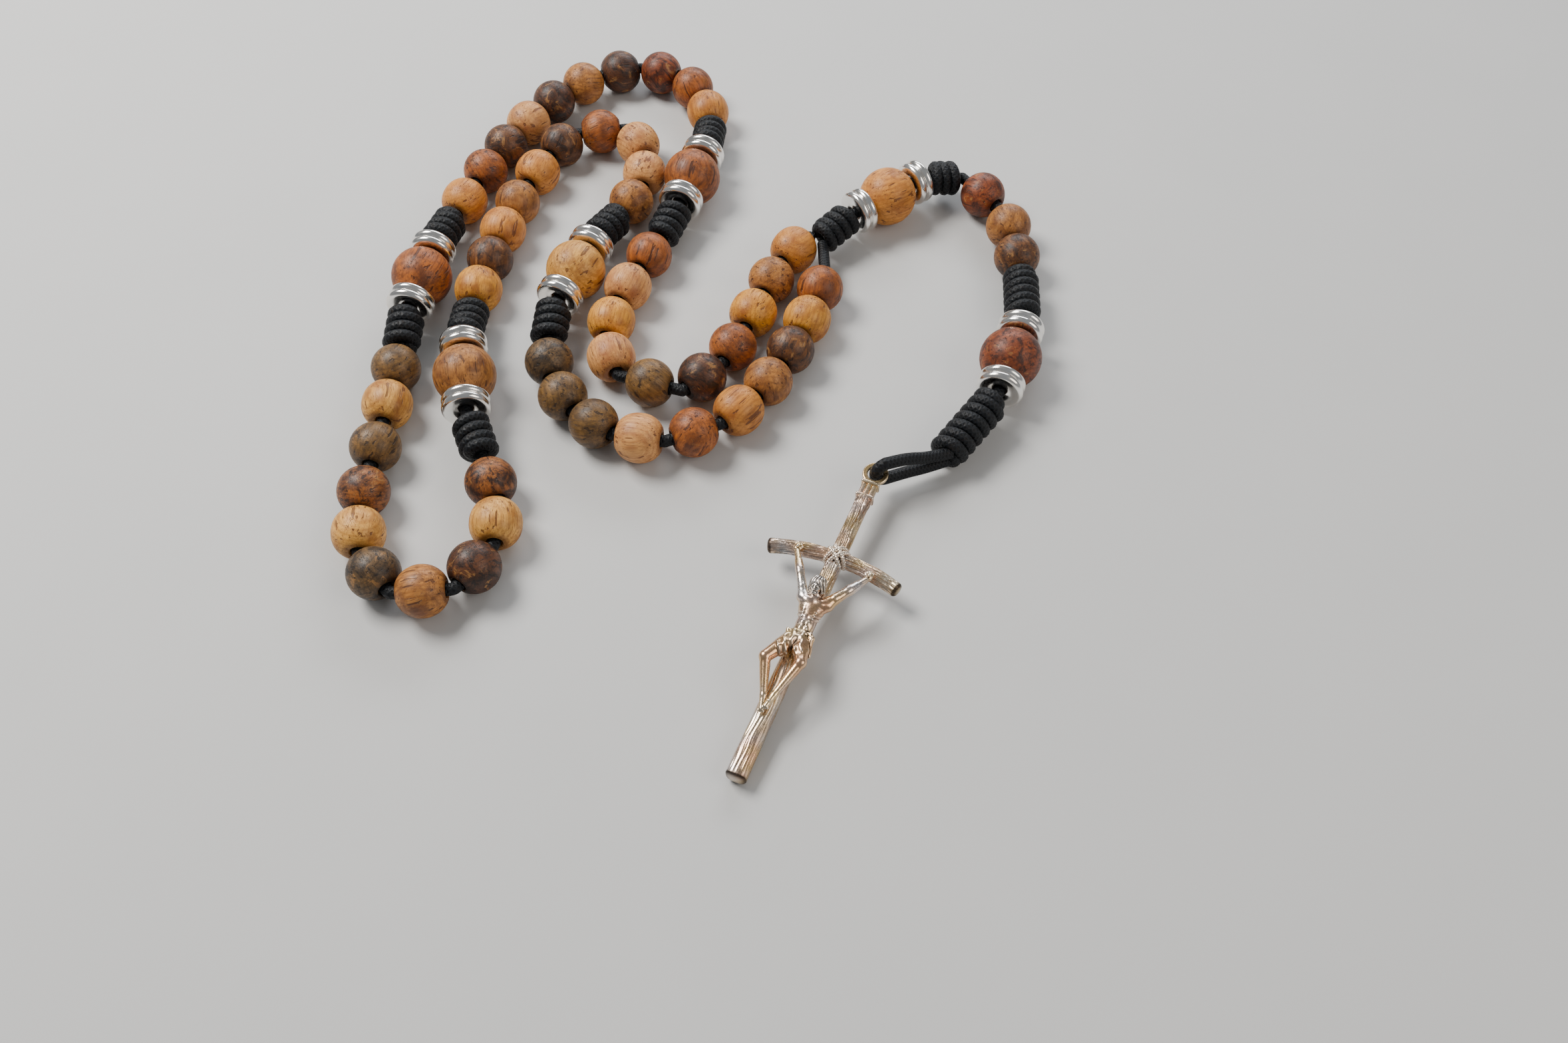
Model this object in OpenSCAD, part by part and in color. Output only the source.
// Five-decade wooden rosary, laid out flat on a table with its crucifix.
// Millimetres, +Z up. The origin is under the middle of the laid-out rosary, on the table.
// Every bead, ring and knot is threaded on one cord. The cord runs straight through each
// piece and bends only in the gaps between pieces.

/* [Beads] */
// Diameter of a small bead
small_d = 8.0; // [7.6:0.1:8.0]
// Length of a small bead along its bore, between its flat ends
small_len = 7.2; // [7.0:0.1:7.4]
// Diameter of a large bead
large_d = 10.2; // [9.6:0.1:10.4]
// Length of a large bead along its bore
large_len = 9.5; // [9.0:0.1:9.8]
// Diameter of the bore through beads, rings and knots
bore_d = 2.4; // [2.3:0.05:2.6]

/* [Rings] */
// Outer diameter of a ring
ring_d = 7.8; // [7.0:0.1:8.0]
// Length of a ring along its bore
ring_len = 3.0; // [2.6:0.1:3.0]

/* [Cord and knots] */
// Diameter of the cord
cord_d = 2.0; // [1.6:0.1:2.0]
// Outer diameter of a knot
knot_d = 6.2; // [5.8:0.1:6.4]
// Turns of cord in an ordinary knot
knot_turns = 4; // [3:1:4]
// Turns of cord in the short knot after the centre bead
short_knot_turns = 3; // [3:1:4]
// Turns of cord in the knot above the pendant bead
pendant_knot_turns = 6; // [5:1:6]
// Turns of cord in the long knot above the crucifix
long_knot_turns = 7; // [6:1:7]

/* [Crucifix] */
// Distance from the middle of the eye to the foot of the upright
cross_len = 52.9; // [48:0.1:54]
// Distance from the middle of the eye to the crossing
crossing_at = 16.0; // [14:0.5:18]
// Width of the crossbar, end to end
bar_w = 20.6; // [18:0.2:22]
// How far the ends of the crossbar droop towards the foot
bar_droop = 1.8; // [1.0:0.1:2.4]
// Diameter of the crossbar
bar_d = 2.3; // [2.0:0.1:2.6]
// Height of the middle of the eye above the table
eye_z = 4.8; // [4.8:0.1:5.0]

/* [Hidden] */

$fn = 48;
cord_sides = 8;

wood_light = "#d9a05a";
wood_mid = "#a9682f";
wood_dark = "#5a3520";
cord_black = "#15171a";
ring_silver = "#d9d6d0";
cross_metal = "#c9b8a2";

// Heights of the cord where a small bead and a large bead rest on the table
small_z = small_d / 2;
large_z = large_d / 2;

// Gap left between two beads and between a bead and a knot, and the play of a bead on its cord
// in each decade
bead_gap = 0.12;
knot_gap = 0.2;
decade_slack = [1.0, 0.2, 0.35, 0.05, 0.05];
trio_gap = 0.15;
// How far the two strands of the loop fold up at a pair of gaps, and the gap kept when folded
fold_angle = 35;
folded_gap = 0.12;
// How far the pendant stretch lifts, and the room kept for the tail to swing at a gap
lift_angle = 20;
tail_swing = 1;

// Width of the flat end of a small bead
flat_d = sqrt(small_d * small_d - small_len * small_len);
wrap_r = cord_d / 2;
ridge_r = ring_len / 4;
function wound_len(turns) = turns * cord_d - 0.5;
knot_len = wound_len(knot_turns);
short_knot_len = wound_len(short_knot_turns);
pendant_knot_len = wound_len(pendant_knot_turns);
long_knot_len = wound_len(long_knot_turns);
// A ring, a large bead and a ring sit close together as a trio
trio_len = 2 * ring_len + large_len + 2 * trio_gap;

// Centre line of the loop: from the centre knot along the left strand to the far bulb, then
// back along the right strand. It ends a short bare stretch away from the centre knot.
left_route = [
    [15.8, 26.8], [12.5, 22.6], [9.2, 15.6], [6.5, 8.2], [3.6, 1], [0.2, -5.2], [-5, -9.4],
    [-11, -9.6], [-16, -5.6], [-18.2, 2], [-16.4, 11.5], [-12.8, 20], [-9.2, 28.5], [-6, 37],
    [-3.7, 45.5], [-2.4, 54], [-3, 62], [-6.8, 69.5], [-14, 74], [-22, 73.4], [-29.6, 68],
    [-35.6, 60.3], [-40.2, 52], [-44, 42.8], [-47.2, 33], [-49.8, 22], [-51.5, 10.5],
    [-51.9, -1], [-51.9, -12], [-52.4, -22], [-52.6, -30]];
right_route = [
    [-52, -38.5], [-48.4, -45.6], [-41.8, -48.6], [-35.2, -46.2], [-31.5, -39.5],
    [-31.7, -32], [-34.8, -24.5], [-38.4, -16], [-41, -5], [-41.5, 6], [-40.4, 17],
    [-38.5, 28], [-36, 38], [-33, 46], [-29.6, 52.6], [-24.4, 57.4], [-18.2, 56], [-14.6, 50],
    [-13.9, 42], [-16.6, 34], [-21, 26], [-25.4, 16], [-27.6, 5], [-27, -5], [-22.4, -13.4],
    [-14, -19], [-5, -19.4], [3.4, -14.8], [9.6, -6.6], [13.7, 2], [16.8, 10], [18.6, 17],
    [19.8, 27.5]];

// Centre line of the tail, from the centre knot to the long knot
tail_route = [
    [17.6, 25.2], [23.2, 30.4], [29.4, 35.4], [35.6, 39.7], [40.5, 41.8], [45, 41.6],
    [48.6, 39], [50.5, 34.8], [51.5, 29.2], [52.2, 23], [52.4, 15.6], [51.8, 7.5],
    [50.2, -0.8], [47.4, -8], [43.8, -14], [39.8, -19.2], [35.4, -23.4]];

// The eye of the crucifix, and the way the upright points from it
eye_at = [25.5, -26.8, eye_z];
cross_turn = -23;
foot_r = 1.6;
neck_r = 1.2;

function smooth_at(p0, p1, p2, p3, t) =
    0.5 * (2 * p1 + (p2 - p0) * t + (2 * p0 - 5 * p1 + 4 * p2 - p3) * t * t
    + (3 * p1 - p0 - 3 * p2 + p3) * t * t * t);

// A smooth curve through the points of a route, in short straight steps
function smooth_line(route, steps = 8) =
    let (last = len(route) - 1)
    [for (i = [0:last - 1]) for (k = [0:steps - 1])
        smooth_at(route[max(i - 1, 0)], route[i], route[i + 1], route[min(i + 2, last)],
            k / steps), route[last]];

// Distance along a line to each of its points
function distances(line) =
    [for (i = 0, s = 0; i < len(line);
        s = s + (i + 1 < len(line) ? norm(line[i + 1] - line[i]) : 0), i = i + 1) s];

function table(line, axis) =
    let (s = distances(line))
    [for (i = [0:len(line) - 1]) [s[i], line[i][axis]]];

// Kinds of piece: "b" small bead, "k" knot, "s" short knot, "p" pendant knot, "l" long knot, and
// "t" for a ring, a large bead and a ring
function piece_len(kind) =
    kind == "b" ? small_len
    : kind == "k" ? knot_len
    : kind == "s" ? short_knot_len
    : kind == "p" ? pendant_knot_len
    : kind == "l" ? long_knot_len
    : trio_len;

// How far a piece reaches from its middle along a line that leans away from its bore
function reach(kind, lean) =
    kind == "b" ? (lean > asin(flat_d / small_d) ? small_d / 2
        : small_len / 2 * cos(lean) + flat_d / 2 * sin(lean))
    : kind == "t" ? (trio_len / 2 - ridge_r) * cos(lean) + (ring_d / 2 - ridge_r) * sin(lean) + ridge_r
    : (piece_len(kind) / 2 - wrap_r) * cos(lean) + (knot_d / 2 - wrap_r) * sin(lean) + wrap_r;

function play(kind) = kind == "b" ? bead_gap : knot_gap;
function gap_between(a, b) = a == "b" && b == "b" ? bead_gap : knot_gap;

// Two neighbours on a bend clear each other when, across the bend, their chords hold the reach
// of both. A fold bends the cord upwards as well, a swing bends it further.
function half_bend(u, v, fold, swing) =
    acos(cos(acos(min(1, u * v / norm(u) / norm(v))) + swing) * cos(fold)) / 2;

function clear_of(u, v, a, b, fold, swing) =
    let (lean = half_bend(u, v, fold, swing))
    (norm(u) + norm(v)) / 2 * cos(lean)
    >= reach(a, lean) + reach(b, lean) + gap_between(a, b) + (fold + swing > 0 ? folded_gap : 0);

function point_on(tables, s) = [lookup(s, tables[0]), lookup(s, tables[1])];

// The next gap is the first place along the curve that leaves the piece room
place_step = 0.05;
function next_gap(tables, kinds, i, before, here, room, fold, swing, s) =
    let (there = point_on(tables, s))
    s > tables[0][len(tables[0]) - 1][0]
    || (norm(there - here) >= room
        && (i == 0 || clear_of(here - before, there - here, kinds[i - 1], kinds[i], fold, swing)))
    ? s : next_gap(tables, kinds, i, before, here, room, fold, swing, s + place_step);

// Places along the curve of the gaps before, between and after the pieces
function gap_places(tables, start, kinds, rooms, folding, swinging) =
    [for (i = 0, s = start, before = [0, 0], here = point_on(tables, start); i <= len(kinds);
        next = i < len(kinds) ? next_gap(tables, kinds, i, before, here, rooms[i], folding[i],
            swinging[i], s + rooms[i]) : s,
        before = here, here = point_on(tables, next), s = next, i = i + 1) s];

function gap_points(tables, places, kinds) =
    [for (i = [0:len(places) - 1]) concat(point_on(tables, places[i]), gap_height(kinds, i))];

function gap_height(kinds, i) =
    (i < len(kinds) && kinds[i] == "t") || (i > 0 && kinds[i - 1] == "t") ? large_z
    : i > 0 && kinds[i - 1] == "l" ? long_knot_end_z : small_z;

decade = "bbbbbbbbbb";
loop_kinds = str(decade, "ktk", decade, "ktk", decade, "ktk", decade, "ktk", decade);
tail_kinds = "ktsbbbptl";
decade_step = 13;

// Gaps of the loop where the two strands fold together: near the fork, at the arm, at the bulb
fork_fold = [5, 56];
arm_fold = [22, 43];
bulb_fold = [28, 36];
folds = concat(fork_fold, arm_fold, bulb_fold);

loop_rooms = [for (i = [0:len(loop_kinds) - 1])
    piece_len(loop_kinds[i]) + play(loop_kinds[i])
    + (loop_kinds[i] == "b" ? decade_slack[floor(i / decade_step)] : 0)];
loop_folding = [for (i = [0:len(loop_kinds) - 1]) len(search(i, folds)) > 0 ? fold_angle : 0];
no_swing = [for (i = [0:len(loop_kinds) - 1]) 0];

loop_line = smooth_line(concat(left_route, right_route));
loop_tables = [table(loop_line, 0), table(loop_line, 1)];
first_bead_at = 0.5;
loop_places = gap_places(loop_tables, first_bead_at, loop_kinds, loop_rooms, loop_folding, no_swing);
loop_gaps = gap_points(loop_tables, loop_places, loop_kinds);

// The tail begins with the centre knot. Its gaps are counted from the end of that knot.
tail_line = smooth_line(tail_route);
tail_tables = [table(tail_line, 0), table(tail_line, 1)];
tail_play = [0.2, 0.1, 0.1, 0.05, 0.05, 0.05, 0.1, 0.6, 0.1];
long_knot_end_z = 3.4;
tail_rooms = [for (i = [0:len(tail_kinds) - 1])
    piece_len(tail_kinds[i]) + play(tail_kinds[i]) + tail_play[i]];
// The tail swings beside the centre trio and the intro beads, and folds at the pendant
tail_swinging = [0, tail_swing, 0, tail_swing, tail_swing, tail_swing, 0, 0, 0];
tail_folding = [0, 0, 0, 0, 0, 0, lift_angle, 0, 0];
tail_places = gap_places(tail_tables, 0, tail_kinds, tail_rooms, tail_folding, tail_swinging);
tail_points = gap_points(tail_tables, tail_places, tail_kinds);
knot_foot = tail_points[0];
tail_gaps = [for (i = [1:len(tail_points) - 1]) tail_points[i]];

// ---- placing pieces ----

// Puts a piece that stands along +Z on the straight line from one gap to the next
module between(a, b) {
    d = b - a;
    tilt = atan2(norm([d[0], d[1]]), d[2]);
    translate((a + b) / 2) rotate([0, tilt, atan2(d[1], d[0])]) children();
}

module on_loop(i) between(loop_gaps[i], loop_gaps[i + 1]) children();
module on_tail(i) between(tail_gaps[i], tail_gaps[i + 1]) children();

// ---- shapes ----

module bead(d, length) {
    difference() {
        intersection() {
            sphere(d = d);
            cylinder(h = length, d = d + 1, center = true);
        }
        cylinder(h = d + 1, d = bore_d, center = true);
    }
}

module small_bead() bead(small_d, small_len);

module donut(big_r, small_r) {
    rotate_extrude() translate([big_r, 0]) circle(r = small_r);
}

// Two round ridges with a groove between them
module spacer_ring() {
    ridge_at = ring_d / 2 - ridge_r;
    difference() {
        union() {
            cylinder(h = ring_len - 0.4, r = ridge_at, center = true);
            for (side = [-1, 1])
                translate([0, 0, side * ridge_r]) donut(ridge_at, ridge_r);
        }
        cylinder(h = ring_len + 1, d = bore_d, center = true);
    }
}

// Turns of cord wound tightly round the cord, the end turns tucked in a little
module barrel_knot(length, turns) {
    wrap_at = knot_d / 2 - wrap_r;
    tuck = 0.15;
    half = length / 2 - wrap_r;
    step = 2 * half / (turns - 1);
    difference() {
        union() {
            cylinder(h = 2 * half, r = wrap_at, center = true);
            for (i = [0:turns - 1])
                translate([0, 0, i * step - half])
                    donut(i == 0 || i == turns - 1 ? wrap_at - tuck : wrap_at, wrap_r);
        }
        cylinder(h = length + 1, d = bore_d, center = true);
    }
}

function unit(v) = v / norm(v);

function ahead(line, i) =
    i == 0 ? unit(line[1] - line[0])
    : i == len(line) - 1 ? unit(line[i] - line[i - 1])
    : unit(unit(line[i + 1] - line[i]) + unit(line[i] - line[i - 1]));

// Each ring's sideways direction turns as little as it can from the one before
function sideways(line, first, last) =
    [for (i = first, side = cross(ahead(line, first), [0.1, 0, 1]); i <= last; i = i + 1,
        side = i <= last ? side - (side * ahead(line, i)) * ahead(line, i) : side) unit(side)];

// One stretch of a line of points as a tube, with a ring of corners square to the cord at each
// point. Two stretches that follow one another share the plane of a ring, so they meet face to
// face.
module cord(line, first, last) {
    sides = sideways(line, first, last);
    spans = last - first;
    corners = [for (i = [0:spans]) for (k = [0:cord_sides - 1])
        let (up = cross(sides[i], ahead(line, first + i)), a = (k + 0.5) * 360 / cord_sides)
        line[first + i] + cord_d / 2 * (cos(a) * sides[i] + sin(a) * up)];
    walls = [for (i = [0:spans - 1]) for (k = [0:cord_sides - 1])
        let (a = i * cord_sides + k, b = i * cord_sides + (k + 1) % cord_sides)
        [a, b, b + cord_sides, a + cord_sides]];
    first_cap = [for (k = [cord_sides - 1:-1:0]) k];
    last_cap = [for (k = [0:cord_sides - 1]) spans * cord_sides + k];
    color(cord_black) polyhedron(corners, concat(walls, [first_cap, last_cap]));
}

// ---- pieces of the loop ----

module loop_beads(first, last, tone) {
    color(tone) for (i = [first:last]) on_loop(i) small_bead();
}

module loop_cord(first, last) cord(loop_gaps, first, last);

// A station is the knot, ring, large bead, ring and knot that follow decade n
function station(n) = decade_step * n - 3;

module loop_knot(n, place) {
    color(cord_black) on_loop(station(n) + place) barrel_knot(knot_len, knot_turns);
}

module large_bead() {
    color(wood_mid) bead(large_d, large_len);
}

module trio_ring(side) {
    color(ring_silver)
        translate([0, 0, side * ((large_len + ring_len) / 2 + trio_gap)]) spacer_ring();
}

// The two strands of the loop leave the centre knot side by side
strand_side = 1.05;
knot_axis = unit(tail_route[1] - tail_route[0]);
knot_across = cross(concat(knot_axis, 0), [0, 0, 1]);
left_start = knot_foot - strand_side * knot_across;
right_end = knot_foot + strand_side * knot_across;

module center_knot() {
    color(cord_black) between(knot_foot, tail_gaps[0]) barrel_knot(knot_len, knot_turns);
}

module fork_left_cord() cord(concat([left_start], loop_gaps), 0, fork_fold[0] + 1);

module fork_right_cord() cord(concat(loop_gaps, [right_end]), fork_fold[1], len(loop_gaps));

module fork_left_beads() loop_beads(0, fork_fold[0] - 1, wood_light);
module fork_right_beads() loop_beads(fork_fold[1], 61, wood_mid);
module middle_decade_1_beads() loop_beads(fork_fold[0], 9, wood_light);
module middle_decade_2_beads() loop_beads(13, arm_fold[0] - 1, wood_mid);
module middle_decade_4_beads() loop_beads(arm_fold[1], 48, wood_light);
module middle_decade_5_beads() loop_beads(52, fork_fold[1] - 1, wood_dark);
module arm_decade_2_bead() loop_beads(arm_fold[0], 22, wood_light);
module arm_decade_3_beads() loop_beads(26, bulb_fold[0] - 1, wood_dark);
module arm_decade_4_beads() loop_beads(39, arm_fold[1] - 1, wood_mid);
module bulb_beads() loop_beads(bulb_fold[0], 35, wood_light);

module middle_left_cord() loop_cord(fork_fold[0], arm_fold[0]);
module middle_right_cord() loop_cord(arm_fold[1], fork_fold[1]);
module arm_left_cord() loop_cord(arm_fold[0], bulb_fold[0]);
module arm_right_cord() loop_cord(bulb_fold[1], arm_fold[1]);
module bulb_cord() loop_cord(bulb_fold[0], bulb_fold[1]);

// ---- pieces of the tail ----

module tail_cord(first, last) cord(tail_gaps, first, last);

module center_cord() tail_cord(0, 2);

// The tail cord stops inside the long knot, where the small loop of cord takes over
hidden_end = 1.6;
module pendant_cord() {
    long_way = unit(tail_gaps[8] - tail_gaps[7]);
    cord([for (i = [0:8]) i < 8 ? tail_gaps[i] : tail_gaps[8] - hidden_end * long_way], 5, 8);
}

module knot_center_out() {
    color(cord_black) on_tail(1) barrel_knot(short_knot_len, short_knot_turns);
}

module intro_bead(n) {
    color(wood_mid) on_tail(1 + n) small_bead();
}

module knot_pendant_in() {
    color(cord_black) on_tail(5) barrel_knot(pendant_knot_len, pendant_knot_turns);
}

// The long knot closes the small loop of cord that carries the crucifix, and is pushed down to it
loop_gap = 0.5;
long_knot_shift = (norm(tail_gaps[8] - tail_gaps[7]) - long_knot_len) / 2 - loop_gap;
module long_knot() {
    color(cord_black) on_tail(7) translate([0, 0, long_knot_shift])
        barrel_knot(long_knot_len, long_knot_turns);
}

// The loop of cord stands on edge: out along the top, down through the eye and back underneath
loop_foot = tail_gaps[8];
loop_way = unit([eye_at[0] - loop_foot[0], eye_at[1] - loop_foot[1], 0]);
loop_reach = norm([eye_at[0] - loop_foot[0], eye_at[1] - loop_foot[1]]);
bend_r = 1.9;
bend_steps = 8;

function in_loop(along, z) =
    [loop_foot[0], loop_foot[1], 0] + along * loop_way + [0, 0, z];

bend_at = loop_reach - bend_r;
eye_loop = concat(
    [in_loop(0, loop_foot[2] + wrap_r), in_loop(bend_at * 0.3, eye_z + 0.2),
        in_loop(bend_at * 0.65, eye_z + 1.4)],
    [for (k = [0:bend_steps])
        let (a = 90 - 180 * k / bend_steps)
        in_loop(bend_at + bend_r * cos(a), eye_z + bend_r * sin(a))],
    [in_loop(bend_at * 0.65, eye_z - 2), in_loop(bend_at * 0.3, eye_z - 2.3),
        in_loop(0, loop_foot[2] - wrap_r)]);

module eye_cord() cord(eye_loop, 0, len(eye_loop) - 1);

// ---- crucifix ----
// In its own frame the eye is at the origin, the upright runs along -Y and +Z faces outwards

cross_tilt = asin((eye_z - foot_r) / cross_len);
module at_eye() {
    translate(eye_at) rotate([0, 0, cross_turn]) rotate([cross_tilt, 0, 0]) children();
}

eye_wire_r = 0.4;
eye_r = 1.6;
collar_w = 2.9;
collar_len = 0.6;
collar_at = [-2.2, -4.7];
bark_at = 4.6;
lashing_r = 1.75;
rope_r = 0.4;
bar_r = (bar_w * bar_w / 4 + bar_droop * bar_droop) / (2 * bar_droop);
bar_sweep = asin(bar_w / 2 / bar_r);

module crucifix_cross() {
    color(cross_metal) at_eye() {
        donut(eye_r, eye_wire_r);
        for (y = collar_at)
            translate([0, y, 0]) cube([collar_w, collar_len, 2], center = true);
        translate([0, (collar_at[0] + collar_at[1]) / 2, 0])
            cube([2.3, collar_at[0] - collar_at[1], 1.6], center = true);
        translate([0, -bark_at, 0]) rotate([90, 0, 0])
            cylinder(h = cross_len - bark_at, r1 = neck_r, r2 = foot_r);
        translate([0, -crossing_at - bar_r, 0]) rotate([0, 0, 90 - bar_sweep])
            rotate_extrude(angle = 2 * bar_sweep) translate([bar_r, 0]) circle(d = bar_d);
    }
}

// Two turns of rope lashed crosswise over the crossing
module crucifix_lashing() {
    color(cross_metal) at_eye()
        for (side = [-1, 1])
            translate([0, -crossing_at, 0]) rotate([90, 0, side * 45])
                donut(lashing_r, rope_r);
}

// The figure, left side; the right side is its mirror image
shoulder = [1.7, -24.6, 2.3];
elbow = [3.8, -21.2, 2.2];
hand = [5.8, -17.4, 1.4];
hip = [0.9, -31.6, 2.2];
knee = [2.6, -35.6, 3.4];
foot = [0.5, -41.6, 2.1];

module limb(a, b, ra, rb) {
    hull() {
        translate(a) sphere(r = ra, $fn = 16);
        translate(b) sphere(r = rb, $fn = 16);
    }
}

module figure_side() {
    limb(shoulder, elbow, 0.75, 0.6);
    limb(elbow, hand, 0.6, 0.5);
    limb(hip, knee, 1.0, 0.75);
    limb(knee, foot, 0.75, 0.55);
    limb(foot, [0.2, -43, 1.7], 0.55, 0.5);
    limb([0.9, -25, 2.5], [0.6, -28.6, 2.4], 1.2, 0.95);
    limb([0.6, -28.6, 2.4], [0.8, -31.4, 2.3], 0.95, 1.1);
}

module crucifix_corpus() {
    color(cross_metal) at_eye() {
        figure_side();
        mirror([1, 0, 0]) figure_side();
        limb([0, -24.8, 2.6], [0, -23.6, 3.5], 0.8, 0.8);
        translate([0, -23.2, 3.6]) sphere(r = 1.35, $fn = 20);
    }
}

center_knot();
fork_left_cord();
fork_right_cord();
fork_left_beads();
fork_right_beads();
middle_decade_1_beads();
middle_decade_2_beads();
middle_decade_4_beads();
middle_decade_5_beads();
middle_left_cord();
middle_right_cord();
arm_decade_2_bead();
arm_decade_3_beads();
arm_decade_4_beads();
arm_left_cord();
arm_right_cord();
bulb_beads();
bulb_cord();
for (n = [1:4]) {
    loop_knot(n, 0);
    loop_knot(n, 2);
    on_loop(station(n) + 1) trio_ring(-1);
    on_loop(station(n) + 1) trio_ring(1);
    on_loop(station(n) + 1) large_bead();
}
on_tail(0) trio_ring(-1);  // ring_center_in
on_tail(0) trio_ring(1);  // ring_center_out
on_tail(0) large_bead();  // our_father_center
center_cord();
knot_center_out();
for (n = [1:3]) {
    intro_bead(n);
    tail_cord(1 + n, 2 + n);
}
pendant_cord();
knot_pendant_in();
on_tail(6) trio_ring(-1);  // ring_pendant_in
on_tail(6) trio_ring(1);  // ring_pendant_out
on_tail(6) large_bead();  // our_father_pendant
long_knot();
eye_cord();
crucifix_cross();
crucifix_lashing();
crucifix_corpus();
